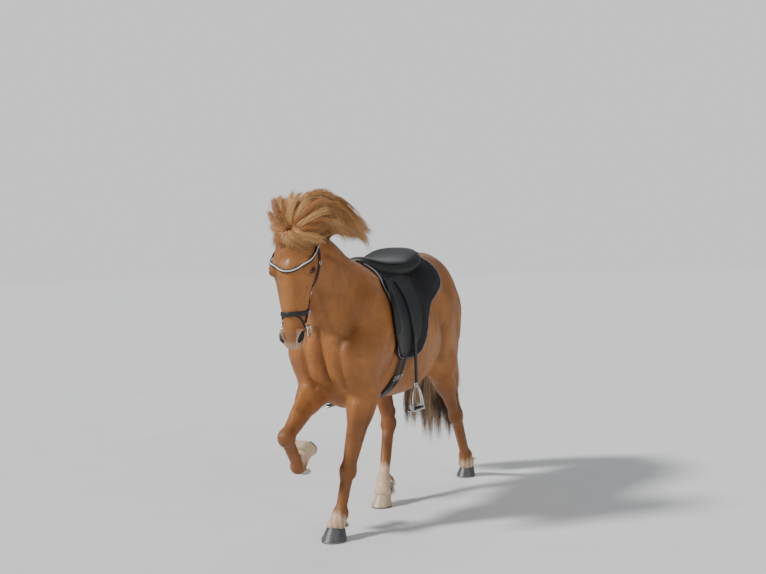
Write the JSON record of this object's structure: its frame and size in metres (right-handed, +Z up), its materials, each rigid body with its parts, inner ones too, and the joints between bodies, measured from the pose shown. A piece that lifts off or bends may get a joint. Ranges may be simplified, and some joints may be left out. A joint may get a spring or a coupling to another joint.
{
  "type": "icelandic horse",
  "caption": "Life-size still model of a chestnut Icelandic horse in mid-stride of the tölt, one foreleg lifted, wearing a saddle and bridle.",
  "frame": {"origin": "on the floor, under the centre of the bounding box", "axes": "+Z up, the horse faces -Y and its left side is +X"},
  "size_m": [0.5728, 1.8182, 1.6403],
  "materials": {
    "coat": "short chestnut coat over skin, satin",
    "mane_hair": "long ginger hair, blond at the tips",
    "tail_hair": "long brown and blond hair",
    "eye": "wet, very glossy, dark brown",
    "dark_hoof": "slate horn, satin",
    "pale_hoof": "pale horn, satin",
    "shoe_iron": "worn iron",
    "black_leather": "black, satin",
    "pad_cloth": "black quilted cloth",
    "steel": "polished stainless steel"
  },
  "bodies": {
    "root": {"torso": "coat", "neck": "coat", "foreleg_left_forearm": "coat", "foreleg_left_cannon": "coat", "foreleg_left_pastern": "coat", "foreleg_left_hoof": "dark_hoof", "foreleg_left_shoe": "shoe_iron", "foreleg_right_forearm": "coat", "foreleg_right_cannon": "coat", "foreleg_right_pastern": "coat", "foreleg_right_hoof": "pale_hoof", "foreleg_right_shoe": "shoe_iron", "hind_leg_left_gaskin": "coat", "hind_leg_left_cannon": "coat", "hind_leg_left_pastern": "coat", "hind_leg_left_hoof": "dark_hoof", "hind_leg_left_shoe": "shoe_iron", "hind_leg_right_gaskin": "coat", "hind_leg_right_cannon": "coat", "hind_leg_right_pastern": "coat", "hind_leg_right_hoof": "pale_hoof", "hind_leg_right_shoe": "shoe_iron", "eye_left": "eye", "eye_right": "eye", "ear_left": "coat", "ear_right": "coat", "mane_front": "mane_hair", "mane_rear": "mane_hair", "head": "coat", "tail": "tail_hair", "saddle_pad": "pad_cloth", "saddle_seat": "black_leather", "saddle_flap_left": "black_leather", "saddle_flap_right": "black_leather", "girth": "black_leather", "stirrup_leather_left": "black_leather", "stirrup_iron_left": "steel", "stirrup_leather_right": "black_leather", "stirrup_iron_right": "steel", "bridle": "black_leather", "bit": "steel"}
  },
  "joints": []
}
